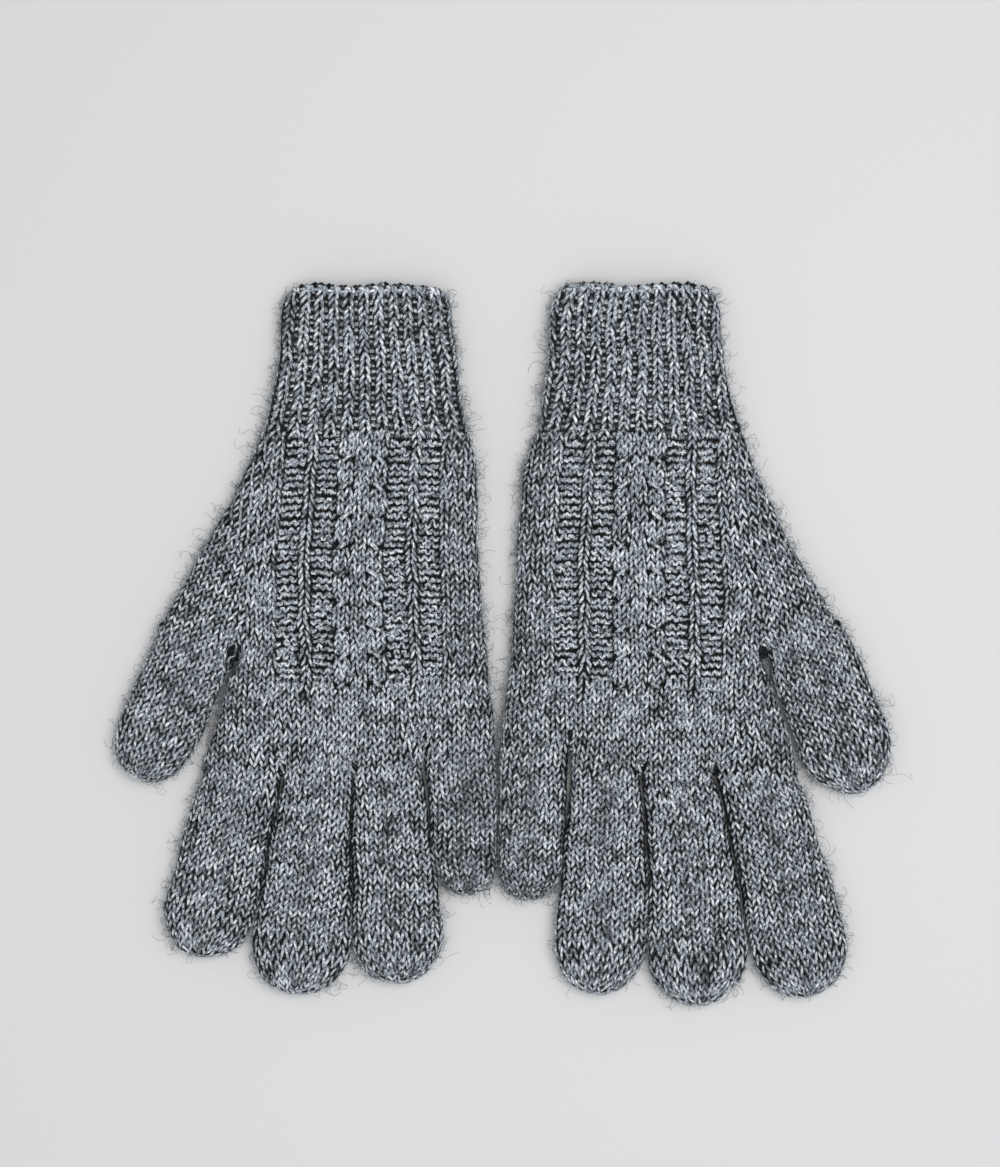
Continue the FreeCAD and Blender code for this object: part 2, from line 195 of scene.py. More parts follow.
CORD_RADIUS, CORD_YARN, CORD_POINTS = 0.6, 0.75, 8
CORD_COURSE, SCALLOP = 0.6, 0.35  # the cord's course, and how far it goes up and down over each rib
# painted light: the cast-on cord is painted lighter over the knit ribs and on the outer side of each strand's
# turn
CORD_LIGHT = 0.3
HAIRS_PER_COURSE = 78
RIM_HAIRS = 0.58  # of them all, that grow on the two rims
HAIR_LENGTH, SHORTEST_HAIR, LONGEST_HAIR, HAIR_SPREAD = 5.2, 1.0, 18.0, 0.7
HAIR_RADIUS, HAIR_POINTS, HAIR_SIDES = 0.06, 9, 3
HAIR_CURL, CURL_CHANGE = 0.34, 0.5  # radians of bend to each millimetre, and how fast that changes
HAIR_OUTWARD = (-0.2, 1.6)  # how much more than at random a hair heads out of the wool
HAIR_ROOT = 0.8  # out from the middle of the fabric
NO_HAIR = (0.3, 0.5, 0.81)  # a direction that no hair takes
HIGHEST_HAIR = 17.0  # over the table


def smooth(value):
    value = np.clip(value, 0.0, 1.0)
    return value * value * (3 - 2 * value)


def unit(vectors):
    return vectors / np.maximum(np.linalg.norm(vectors, axis=-1, keepdims=True), TINY)


def line_through(places):
    """A smooth line through a few measured places: a function of the distance along the glove."""
    along = np.array(sorted(places), float)
    across = np.array([places[key] for key in sorted(places)], float)
    slope = np.gradient(across, along)

    def at(y):
        y = np.asarray(y, float)
        i = np.clip(np.searchsorted(along, y) - 1, 0, len(along) - 2)
        span = along[i + 1] - along[i]
        t = np.clip((y - along[i]) / span, -0.3, 1.3)
        a, b = across[i], across[i + 1]
        ease = t * t * (3 - 2 * t)
        pull = t * (1 - t) ** 2 * slope[i] - t * t * (1 - t) * slope[i + 1]
        return a + (b - a) * ease + span * pull

    return at


near_edge = line_through(NEAR_EDGE)
far_edge = line_through(FAR_EDGE)


def evenly(points, count):
    """The same line as count points at even distances."""
    steps = np.linalg.norm(np.diff(points, axis=0), axis=1)
    run = np.concatenate([[0], np.cumsum(steps)])
    at = np.linspace(0, run[-1], count)
    return np.stack([np.interp(at, run, points[:, k]) for k in range(points.shape[1])], 1)


def flat_loop(width, reach, height, near_skin=SKIN, far_skin=SKIN):
    """Round a flattened tube: along the top outwards, over the far rim and back under. (across, up)"""
    angle = np.linspace(math.pi / 2, -math.pi / 2, RIM_STEPS)
    out = np.abs(np.cos(angle)) ** (2 / RIM_SHAPE)
    up = height * np.sign(np.sin(angle)) * np.abs(np.sin(angle)) ** (2 / RIM_SHAPE)
    rims = [np.stack([(reach - skin) * out, up], 1) for skin in (near_skin, far_skin)]
    near, far = (evenly(rim, RIM_PLACES + 2)[1:-1] for rim in rims)
    flat = np.linspace(reach, width - reach, FLAT_PLACES)
    level = np.full(FLAT_PLACES, height)
    across = np.concatenate([flat, width - reach + far[:, 0], flat[::-1], reach - near[::-1, 0]])
    raised = np.concatenate([level, far[:, 1], -level, near[::-1, 1]])
    return across, raised


class Surface:
    """The middle of the fabric, as a grid of closed loops; FINE loops to each course."""

    def __init__(self, loop_at, first, last):
        self.first = first
        self.pressed = ()  # the rims that press against another digit: 0 the far one, 1 the near one
        count = int(round((last - first) * FINE)) + 1
        self.points = np.stack([loop_at(first + k / FINE) for k in range(count)])
        along = np.gradient(self.points, axis=0)
        sideways = np.roll(self.points, -1, 1) - np.roll(self.points, 1, 1)
        normal = np.cross(sideways, along)
        still = np.linalg.norm(normal, axis=2).max(1) < 1e-6  # past the end of a tip the loops stay the same
        normal = unit(normal)
        for row in range(1, count):
            if still[row]:
                normal[row] = normal[row - 1]
        outward = self.points - self.points.mean(1, keepdims=True)
        self.normals = normal * np.sign((normal * outward).sum())

    def at(self, table, course, place):
        row = np.clip((course - self.first) * FINE, 0, len(table) - 1.001)
        i = row.astype(int)
        a = (row - i)[:, None]
        place = np.mod(place, PLACES)
        j = place.astype(int) % PLACES
        b = (place - np.floor(place))[:, None]
        k = (j + 1) % PLACES
        low = table[i, j] * (1 - b) + table[i, k] * b
        high = table[i + 1, j] * (1 - b) + table[i + 1, k] * b
        return low * (1 - a) + high * a

    def on(self, course, place):
        """Points of the surface and its normals there."""
        return self.at(self.points, course, place), unit(self.at(self.normals, course, place))

    def loop(self, course):
        places = np.arange(PLACES + 1, dtype=float)
        return self.at(self.points, np.full(PLACES + 1, course), places)


def wander(points):
    """A smooth random push at each point, the same for every section that meets there."""
    random = np.random.default_rng(SEED)
    push = np.zeros_like(points)
    for _ in range(WANDER_WAVES):
        direction = random.normal(size=3)
        direction /= np.linalg.norm(direction) * WANDER_LENGTH * random.uniform(0.6, 1.6)
        phase = random.uniform(0, 2 * math.pi, 3)
        swing = points @ direction * 2 * math.pi
        push += np.sin(swing[:, None] + phase) * WANDER / WAVES_HEIGHT
    return push


# ---- from loops to wool


def grid_faces(rows, columns, closed):
    """The quads between rows of vertices; a closed row is a ring."""
    start = np.arange(rows - 1)[:, None] * columns
    k = np.arange(columns if closed else columns - 1)
    following = (k + 1) % columns
    corners = (start + k, start + following, start + columns + following, start + columns + k)
    return np.stack(corners, 2).reshape(-1, 4)


def around(side, up, angle):
    """Directions all round a line, at each of its points."""
    return side[..., None, :] * np.cos(angle)[:, None] + up[..., None, :] * np.sin(angle)[:, None]


class Yarn:
    """Courses of yarn gathered for one mesh."""

    def __init__(self):
        self.vertices, self.faces, self.fibre, self.depth = [], [], [], []
        self.count = 0
        self.length = 0.0

    def add(self, line, normal, radius, depth):
        """A capped tube round a line, its cross-section steered by the fabric's normal. Depth is how far
        the line stands out of the fabric's middle, with painted light and shade added; the wool's material
        paints shade by it."""
        line = opened(line)
        step = unit(np.gradient(line, axis=0))
        side = unit(np.cross(step, normal))
        up = np.cross(side, step)
        run = np.concatenate([[0], np.cumsum(np.linalg.norm(np.diff(line, axis=0), axis=1))])
        angle = 2 * math.pi * np.arange(YARN_SIDES) / YARN_SIDES
        ring = around(side, up, angle)
        wide = np.broadcast_to(np.asarray(radius, float), (len(line),))
        tube = line[:, None] + ring * wide[:, None, None]
        tube[..., 2] = np.maximum(tube[..., 2], 0)  # pressed flat where it lies on the table
        turn = angle[None] + TWIST * (run[:, None] + self.length)
        along = np.broadcast_to((run + self.length)[:, None], turn.shape)
        self.fibre.append(np.stack([along, np.cos(turn), np.sin(turn)], 2).reshape(-1, 3))
        self.fibre.append(np.array([[self.length, 0, 0], [self.length + run[-1], 0, 0]]))
        raised = depth[:, None] + (ring * normal[:, None]).sum(2) * wide[:, None]
        self.depth.append(np.append(raised.ravel(), depth[[0, -1]]))
        quads = grid_faces(len(line), YARN_SIDES, True)
        first = len(line) * YARN_SIDES  # the middles of the two caps come after the rings
        k = np.arange(YARN_SIDES)
        following = (k + 1) % YARN_SIDES
        last_ring = first - YARN_SIDES
        start = np.stack([k, np.full(YARN_SIDES, first), following], 1)
        end = np.stack([last_ring + k, last_ring + following, np.full(YARN_SIDES, first + 1)], 1)
        self.faces.append((quads + self.count, np.concatenate([start, end]) + self.count))
        self.vertices.append(tube.reshape(-1, 3))
        self.vertices.append(line[[0, -1]])
        self.count += first + 2
        self.length += run[-1]


def fill(items, key, values, kind=np.float32):
    items.foreach_set(key, np.asarray(values).astype(kind).ravel())


def make_mesh(name, parts, materials):
    """One piece from several parts, each (vertices, quads, triangles, fibre, depth) with its own material."""
    counts = [len(part[0]) for part in parts]
    firsts = np.concatenate([[0], np.cumsum(counts)[:-1]])
    quads, triangles = (
        np.concatenate([part[k] + first for part, first in zip(parts, firsts)]) for k in (1, 2)
    )
    slots = [np.repeat(np.arange(len(parts)), [len(part[k]) for part in parts]) for k in (1, 2)]
    mesh = bpy.data.meshes.new(name)
    mesh.vertices.add(sum(counts))
    fill(mesh.vertices, "co", np.concatenate([part[0] for part in parts]) * MM)
    corners = np.concatenate([quads.ravel(), triangles.ravel()])
    starts = np.concatenate([np.arange(len(quads)) * 4, quads.size + np.arange(len(triangles)) * 3])
    mesh.loops.add(len(corners))
    fill(mesh.loops, "vertex_index", corners, np.int32)
    mesh.polygons.add(len(starts))
    fill(mesh.polygons, "loop_start", starts, np.int32)
    fill(mesh.polygons, "use_smooth", np.ones(len(starts)), bool)
    for material in materials:
        mesh.materials.append(material)
    fill(mesh.polygons, "material_index", np.concatenate(slots), np.int32)
    fibre = mesh.attributes.new("fibre", "FLOAT_VECTOR", "POINT")
    fill(fibre.data, "vector", np.concatenate([part[3] for part in parts]))
    depth = mesh.attributes.new("depth", "FLOAT", "POINT")
    fill(depth.data, "value", np.concatenate([part[4] for part in parts]))
    mesh.update(calc_edges=True)
    piece = bpy.data.objects.new(name, mesh)
    bpy.context.scene.collection.objects.link(piece)
    return piece


def plain_part(vertices, quads, triangles):
    """A part of a mesh that has no fibres of its own to be shaded by."""
    return vertices, quads, triangles, np.zeros((len(vertices), 3)), np.zeros(len(vertices))


def shade_sheet(surface, first, last, start, end):
    """A thin near-black sheet of painted shade just inside the stitches, standing for the shaded inside of
    the glove, so that nothing shows through them.
    """
    rows = np.linspace(first, last, int((last - first) * 2) + 1)
    across = np.linspace(start, end, int(end - start) + 1)
    course, place = [a.ravel() for a in np.meshgrid(rows, across, indexing="ij")]
    centre, normal = (surface.at(table, course, place) for table in (surface.points, surface.normals))
    outer, inner = centre - normal * SHADE_SHEET_OUTER, centre - normal * SHADE_SHEET_INNER
    wide, tall = len(across), len(rows)
    face = grid_faces(tall, wide, False)
    total = wide * tall
    quads = [face, face[:, ::-1] + total]
    bottom = total - wide + np.arange(wide)
    left = np.arange(tall) * wide
    for border in (np.arange(wide)[::-1], bottom, left, left[::-1] + wide - 1):
        a, b = border[:-1], border[1:]
        quads.append(np.stack([a, b, b + total, a + total], 1))
    return plain_part(np.concatenate([outer, inner]), np.concatenate(quads), np.zeros((0, 3), int))


# ---- courses of stitches


class Round:
    """One course as a closed line round the tube, and how far round it each place is."""

    def __init__(self, surface, course):
        loop = surface.loop(course)
        steps = np.linalg.norm(np.diff(loop, axis=0), axis=1)
        self.arc = np.concatenate([[0], np.cumsum(steps)])
        self.total = self.arc[-1]

    def arc_at(self, places):
        places = np.asarray(places, float)
        turns = np.floor(places / PLACES)
        return np.interp(places - turns * PLACES, np.arange(PLACES + 1), self.arc) + turns * self.total

    def place_at(self, arcs):
        return np.interp(np.mod(arcs, self.total), self.arc, np.arange(PLACES + 1))

    def run(self, places, phases, before=0, after=0, stitch=STITCH_WIDTH):
        """Fixed stitches, carried on at an even width over some more places at either end."""
        ahead, behind = places[0] - np.arange(before, 0, -1), places[-1] + np.arange(1, after + 1)
        first = phases[0] + (self.arc_at(ahead) - self.arc_at(places[0])) / stitch
        last = phases[-1] + (self.arc_at(behind) - self.arc_at(places[-1])) / stitch
        return np.concatenate([ahead, places, behind]), np.concatenate([first, phases, last])

    def points(self, runs, stitch=STITCH_WIDTH):
        """Phase and arc of every point of the yarn. Between two runs of fixed stitches, a whole number of
        stitches is spread out evenly."""
        at, phase = [], []
        for places, phases in runs:
            arcs = self.arc_at(places)
            if at:
                wanted = phase[-1] + (arcs[0] - at[-1]) / stitch
                phases = phases + round(wanted - phases[0])
            at.extend(arcs)
            phase.extend(phases)
        closing = (self.total - at[-1] + at[0]) / stitch
        count = int(round(phase[-1] + closing - phase[0]))
        at.append(at[0] + self.total)
        phase.append(phase[0] + count)
        phases = phase[0] + np.arange(count * POINTS_PER_STITCH + 1) / POINTS_PER_STITCH
        return phases, np.interp(phases, phase, at)


def drift(loop, runs, following, arcs):
    """How far round the tube the wales move from one course to the following one."""
    at, moved = [], []
    for (places, phases), (places_next, phases_next) in zip(runs, following):
        shared = (phases >= phases_next[0]) & (phases <= phases_next[-1])
        arcs_now = loop.arc_at(places[shared])
        at.append(arcs_now)
        moved.append(loop.arc_at(np.interp(phases[shared], phases_next, places_next)) - arcs_now)
    return np.interp(arcs, np.concatenate(at), np.concatenate(moved), period=loop.total)


def between(table, phase):
    """A value for each wale, changing quickly from one wale to the next."""
    low = np.floor(phase).astype(int)
    share = smooth((phase - low - 0.3) / 0.4)
    first = np.clip(low, 0, len(table) - 1)
    second = np.clip(low + 1, 0, len(table) - 1)
    return table[first] * (1 - share) + table[second] * share


class Style:
    """What each point of a course looks like."""

    def __init__(self, count):
        self.face = np.ones(count)  # 1 knit, -1 purl
        self.next_face = self.face  # of the course that is pulled through this one
        self.relief = np.zeros(count)
        self.plump = 1.0
        self.closing = 0.0  # how far the yarn is drawn together over the end of a digit
        # how much lighter purl yarn is painted
        self.purl_light = PURL_LIGHT
        self.cross = None  # the cable crossing, a function of course and phases


def knit_course(surface, course, loop, phases, arcs, style, random, drifting=0.0):
    """The middle line of one course of yarn, the fabric's normal along it, its radius, and how far it
    stands out of the fabric, with painted light and shade added to that for the wool's material."""
    turn = 2 * math.pi * phases
    head = smooth((np.cos(turn) + HEAD_START) / HEAD_BLEND)
    face = style.face * (1 - head) + style.next_face * head
    stitches = int(phases[-1] - phases[0]) + 2
    steps = np.arange(stitches) + phases[0]
    rough = [np.interp(phases, steps, random.normal(size=stitches)) for _ in range(4)]
    for values in rough:
        values[-1] = values[0]
    knitted = (face + 1) / 2
    rise = PURL_RISE + (KNIT_RISE - PURL_RISE) * knitted
    uneven = PURL_UNEVEN + (UNEVEN - PURL_UNEVEN) * knitted
    at_course = course + rise * (1 + uneven * rough[0]) * np.cos(turn) + uneven * rough[1]
    sway = (PURL_SWAY + (KNIT_SWAY - PURL_SWAY) * knitted) * np.sin(2 * turn) + uneven * rough[2]
    loop_depth = LOOP_DEPTH * (1 - CLOSING_FLAT * style.closing)
    depth = DEPTH_UNEVEN * rough[3] - loop_depth * np.cos(2 * turn) * face
    relief = style.relief + CLOSING_RELIEF * style.closing
    if style.cross:
        shift, lift = style.cross(at_course, phases)
        sway = sway + shift
        relief = relief + lift
    width = np.gradient(arcs) * POINTS_PER_STITCH
    place = loop.place_at(arcs + sway * width + (at_course - course) * drifting)
    centre, normal = surface.on(at_course, place)
    radius = YARN_RADIUS * (1 + PURL_SWELL * (1 - knitted)) * style.plump
    # painted light: raised relief, purl yarn and the closing loops of a tip count as standing out further, so
    # the material paints them lighter
    shown = depth + RELIEF_SHADE * relief + style.purl_light * (1 - knitted) + LOOP_DEPTH * style.closing
    return centre + normal * (depth + relief)[:, None], normal, radius, shown


# ---- surfaces of the sections


def opened(line):
    """The small holes where two digits part: the stitches there are drawn aside."""
    line = line.copy()
    holes = [(THUMB_FORK[0], hole) for hole in THUMB_HOLES]
    holes += [(fork, hole) for fork in (*LITTLE_FORK, *KNUCKLE_FORKS) for hole in FINGER_HOLES]
    for (across, along), (out, back, reach) in holes:
        for side in SIDES.values():
            wide = across + out if side > 0 else (across + out) * (1 - NARROWER)
            apart = line[:, :2] - (side * (SPACE + wide), along + back)
            far = np.linalg.norm(apart, axis=1, keepdims=True) + 0.01
            line[:, :2] += apart / far * reach * np.exp(-((far / (HOLE_FADE * reach)) ** 2))
    return line


def placed(side, across, along, up):
    """Points of one glove, with the small unevenness of soft wool that lies on a table."""
    if side < 0:
        across = across * (1 - NARROWER * smooth((NARROWER_FROM - along) / NARROWER_FROM))
    points = np.stack([side * (SPACE + across), along, up], 1)
    points[:, 0] += CUFF_SHIFT * smooth((along - SHIFT_FROM) / SHIFT_LENGTH)
    push = wander(points)
    push[:, 2] *= np.maximum(up, 0) / TOP
    return points + push


def cuff_loop(side, course):
    along = MOUTH - course * COURSE_HEIGHT
    pull = MOUTH_PULL * np.clip(1 - (MOUTH - along) / PULL_LENGTH, 0, 1) ** 2
    near, far = near_edge(along) + pull, far_edge(along) - pull
    across, up = flat_loop(far - near, CUFF_RIM, HALF_HEIGHT)
    corner = np.clip(1 - np.minimum(across, far - near - across) / CORNER, 0, 1)
    droop = DROOP * corner**2 * math.exp(-max(course, 0) / DROOP_COURSES)
    return placed(side, near + across, along - droop, TOP / 2 + up)


def gusset_line(along):
    """How far across the hand ends and the gusset begins."""
    share = (WRIST - along) / (WRIST - CROTCH)
    return GUSSET_START + (CROTCH_ACROSS - GUSSET_START) * share


def upper_hand_row(course):
    """Along, near edge, line of the gusset, width and turn of a course above the crotch."""
    along = WRIST - course * COURSE_HEIGHT
    turn = math.radians(THUMB_TURN) * float(smooth(course / GUSSET_COURSES))
    near, line = float(near_edge(along)), gusset_line(along)
    reach = 0.0
    for _ in range(8):  # each round comes nearer to where the course meets the far edge
        reach = (float(far_edge(along + reach * math.sin(turn))) - line) / math.cos(turn)
    return along, near, line, line - near + reach, turn


def upper_hand_loop(side, course):
    along, near, line, width, turn = upper_hand_row(course)
    across, up = flat_loop(width, HAND_RIM, HALF_HEIGHT)
    past = across - (line - near)
    eased = (past + GUSSET_BEND) ** 2 / (4 * GUSSET_BEND)
    bent = np.where(past > GUSSET_BEND, past, np.where(past < -GUSSET_BEND, 0, eased))
    up = up * pinched(near + across, along, THUMB_FORK)
    flat = near + across - bent * (1 - math.cos(turn))
    return placed(side, flat, along + bent * math.sin(turn), TOP / 2 + up)


def pinched(across, along, forks):
    """How much of the tube's height is left where it rounds off towards the forks between digits."""
    left = np.ones_like(across)
    for middle, end in forks:
        near_end = float(smooth((end - along) / FORK_LENGTH + 1.1))
        inward = np.clip(1 - (np.abs(across - middle) - FORK_GAP) / FORK_REACH, 0, 1)
        rounded = np.maximum((1 - inward ** RIM_SHAPE) ** (1 / RIM_SHAPE), FORK_HEIGHT)
        left *= 1 - near_end * (1 - rounded)
    return left


def lower_hand_edges(along, notched):
    """The near and far edge of the hand below the crotch; notched is below the little finger's root."""
    near = LITTLE_RING + NOTCH_GAP if notched else float(near_edge(along))
    share = (CROTCH - along) / (CROTCH - KNUCKLES)
    return near, CROTCH_ACROSS + (KNUCKLE_FAR - CROTCH_ACROSS) * share


def lower_hand_loop(notched, side, course):
    along = WRIST - course * COURSE_HEIGHT
    near, far = lower_hand_edges(along, notched)
    across, up = flat_loop(far - near, HAND_RIM, HALF_HEIGHT, INNER[0] if notched else SKIN)
    up = up * pinched(near + across, along, KNUCKLE_FORKS if notched else LITTLE_FORK)
    return placed(side, near + across, np.full(PLACES, along), TOP / 2 + up)


class Digit:
    """A closed tube that starts on a root line, leans to the thumb side and ends in a blunt tip."""

    def __init__(self, side, root, along, lean, root_turn, root_width, tip_width, length, skins):
        self.side, self.root, self.along, self.skins = side, root, along, skins
        self.lean, self.root_turn = math.radians(lean), math.radians(root_turn)
        self.root_width, self.tip_width, self.length = root_width, tip_width, length
        self.tip_length = TIP_LENGTH * tip_width
        self.straight = int(round((length - self.tip_length) / COURSE_HEIGHT))
        self.height = (length - self.tip_length) / self.straight
        self.courses = self.straight + TIP_COURSES

    def reached(self, course):
        """How far from the root a course is, and how far into the closing tip, from 0 to 1."""
        if course <= self.straight:
            return course * self.height, 0.0
        share = min((course - self.straight) / (TIP_COURSES + 0.5), TIP_END)
        return self.length - self.tip_length * (1 - math.sin(share * math.pi / 2)), share

    def shape(self, course):
        """How much of its width is left at the tip, and how much of its widening is done."""
        reached, share = self.reached(course)
        shrink = max(math.cos(share * math.pi / 2) ** TIP_SHRINK, TIP_HOLE)
        return shrink, min(reached / (self.length - WIDEST * self.tip_length), 1.0)

    def loop_at(self, course):
        reached, _ = self.reached(course)
        shrink, widening = self.shape(course)
        width = (self.root_width + (self.tip_width - self.root_width) * widening) * shrink
        past_root = float(smooth(reached / FORK_REACH))
        near, far = (shrink * (first + (last - first) * past_root) for first, last in self.skins)
        height = HALF_HEIGHT * shrink ** TIP_FLATTENING
        across, up = flat_loop(width, width * DIGIT_RIM, height, near, far)
        offset = across - width / 2
        turn = self.root_turn + (self.lean - self.root_turn) * float(smooth(reached / LEAN_LENGTH))
        flat = self.root + reached * math.sin(self.lean) + offset * math.cos(turn)
        along = self.along - reached * math.cos(self.lean) + offset * math.sin(turn)
        return placed(self.side, flat, along, TOP / 2 + up)


# ---- sections


def half(places, start, end):
    """The points of a closed course whose places run from start on to end, in order."""
    relative = np.mod(places[:-1] - start, PLACES)
    span = (end - start) % PLACES or PLACES
    order = np.argsort(relative, kind="stable")
    keep = order[relative[order] <= span]
    if len(keep) < 2:
        return None
    following = (keep[-1] + 1) % len(relative)
    return np.append(keep, following)


def rib_arcs(loop, phases):
    """How far round the cuff each phase lies; the even wales are knit and wider than the purl ones."""
    edges = np.arange(RIB_STITCHES + 1)
    pair = 2 * loop.total / RIB_STITCHES
    return np.interp(phases + 0.5, edges, pair * (edges // 2 + KNIT_SHARE * (edges % 2)))


def cuff(side, random):
    """The ribbed cuff: knit and purl wales by turns, the knit ones wider."""
    courses = int((MOUTH - WRIST) / COURSE_HEIGHT) + 1
    surface = Surface(partial(cuff_loop, side), -SPARE, courses + SPARE)
    yarn = Yarn()
    table = np.array([1.0, -1.0] * (RIB_STITCHES // 2 + 2))
    for course in range(1, courses):
        loop = Round(surface, course)
        phases = np.arange(RIB_STITCHES * POINTS_PER_STITCH + 1) / POINTS_PER_STITCH - 0.5
        arcs = rib_arcs(loop, phases)
        style = Style(len(phases))
        style.face = style.next_face = between(table, phases)
        style.relief = RIB_STEP * (style.face - 1)
        style.plump = RIB_PLUMP
        style.purl_light = RIB_PURL_LIGHT
        yarn.add(*knit_course(surface, course, loop, phases, arcs, style, random))
    return yarn, [shade_sheet(surface, 0.5, courses, 0, PLACES)], [(surface, 0.5, courses)]


def cast_on(side):
    """The edge of the mouth: two strands twisted round each other, higher over the knit ribs."""
    surface = Surface(partial(cuff_loop, side), -SPARE, 2 * SPARE)
    loop = Round(surface, CORD_COURSE)
    yarn = Yarn()
    phases = np.arange(RIB_STITCHES * CORD_POINTS + 1) / CORD_POINTS - 0.5
    ribs = np.cos(math.pi * phases)
    course = CORD_COURSE - SCALLOP * ribs
    place = loop.place_at(rib_arcs(loop, phases))
    centre, normal = surface.on(course, place)
    centre = centre + RIB_STEP * ribs[:, None] * normal
    up = np.cross(unit(np.gradient(centre, axis=0)), normal)
    for start in (0, math.pi):
        turn = (2 * math.pi * phases + start)[:, None]
        line = centre + CORD_RADIUS * (normal * np.cos(turn) + up * np.sin(turn))
        # the cord's depth for the material carries this painted light
        yarn.add(line, normal, CORD_YARN, CORD_LIGHT * (1 + ribs + np.cos(turn[:, 0])))
    return yarn


def panel_marks(along):
    """Where each wale of the back panel ends, at one place along the glove."""
    plain = float(smooth((PANEL_END + PLAIN_START - along) / PLAIN_LENGTH))
    widths = np.array([WIDTHS[kind] for kind in PANEL])
    widths = widths * (1 - plain) + (STITCH_WIDTH * PLAIN_WIDTH) * plain
    to_wrist = float(smooth((along - TAPER_START) / TAPER_LENGTH))
    edges = np.concatenate([[0], np.cumsum(widths)]) * (1 - TAPER * to_wrist)
    return PANEL_MIDDLE - TAPER_SHIFT * to_wrist + edges - edges[-1] / 2


def back_phase(across, along):
    """The phase of a place on the back of the hand; wale k of the panel is centred on k."""
    marks = panel_marks(along)
    inside = np.interp(across, marks, np.arange(len(marks)) - 0.5)
    below = np.minimum(across - marks[0], 0) / STITCH_WIDTH
    above = np.maximum(across - marks[-1], 0) / STITCH_WIDTH
    return inside + below + above


CROSSINGS = ((PANEL.index("cc") + 0.5, -1), (PANEL.rindex("cc") + 0.5, 1))


def cable_cross(course, at_course, phases):
    """Two wales of a cable change places over the last half of every cable's height."""
    start = (course // CABLE_COURSES) * CABLE_COURSES + CABLE_COURSES / 2
    turned = smooth((at_course - start) / (CABLE_COURSES / 2))
    shift, lift = np.zeros_like(phases), np.zeros_like(phases)
    for middle, way in CROSSINGS:
        apart = phases - middle
        inside = smooth((CABLE_REACH - np.abs(apart)) / CABLE_EDGE)
        front = smooth(0.5 - way * apart / CABLE_BLEND)
        shift += apart * (np.cos(math.pi * turned) - 1) * inside
        lift += np.sin(math.pi * turned) * inside * (CABLE_LIFT * front - CABLE_SINK)
    return shift, lift


def back_style(phases, places, along):
    """Stockinette, with the panel of ribs, purl gutters and cables between wrist and knuckles."""
    style = Style(len(phases))
    if along > PANEL_END:
        faces = np.array([1.0] + [-1.0 if kind == "p" else 1.0 for kind in PANEL] + [1.0])
        reliefs = np.array([0.0] + [RELIEF[kind] for kind in PANEL] + [0.0])
        fade = float(smooth((along - PANEL_END) / PANEL_FADE))
        on_back = places < FLAT_PLACES
        style.face = np.where(on_back, between(faces, phases + 1), 1.0)
        style.relief = np.where(on_back, between(reliefs, phases + 1) * fade, 0.0)
        if along - COURSE_HEIGHT > PANEL_END:
            style.next_face = style.face
    return style


def hand_row(course):
    """As upper_hand_row, for any course; below the crotch the line is past the far edge."""
    if course < CROTCH_COURSE:
        return upper_hand_row(course)
    along = WRIST - course * COURSE_HEIGHT
    near, far = lower_hand_edges(along, course >= NOTCH_COURSE)
    return along, near, 2 * far - near, far - near, 0.0


def hand_runs(loop, course):
    """The fixed stitches of one course: hand and gusset on top, gusset and palm underneath."""
    along, near, line, width, turn = hand_row(course)
    across, _ = flat_loop(width, HAND_RIM, HALF_HEIGHT)
    flat = across[:FLAT_PLACES]
    top = np.arange(FLAT_PLACES)
    bottom = top[::-1] + FLAT_PLACES + RIM_PLACES
    on_hand, on_gusset = flat < line - near - GUSSET_MARGIN, flat > line - near + GUSSET_MARGIN
    closed = course >= CROTCH_COURSE
    phases = back_phase(near + flat[on_hand], along)
    runs = [loop.run(top[on_hand], phases, TOP_HOLD, TOP_HOLD if closed else 0)]
    if on_gusset.sum() > 3:
        # the gusset's wales run alongside the thumb's middle line
        wale = (flat[on_gusset] - (line - near) - gusset_middle(line, along, turn)) / STITCH_WIDTH
        runs.append(loop.run(top[on_gusset], wale, 0, TOP_HOLD))
        runs.append(loop.run(bottom[on_gusset][::-1], -wale[::-1], UNDER_HOLD, 0))
    phases = -(near + flat[on_hand][::-1]) / STITCH_WIDTH
    runs.append(loop.run(bottom[on_hand][::-1], phases, UNDER_HOLD if closed else 0, UNDER_HOLD))
    return runs


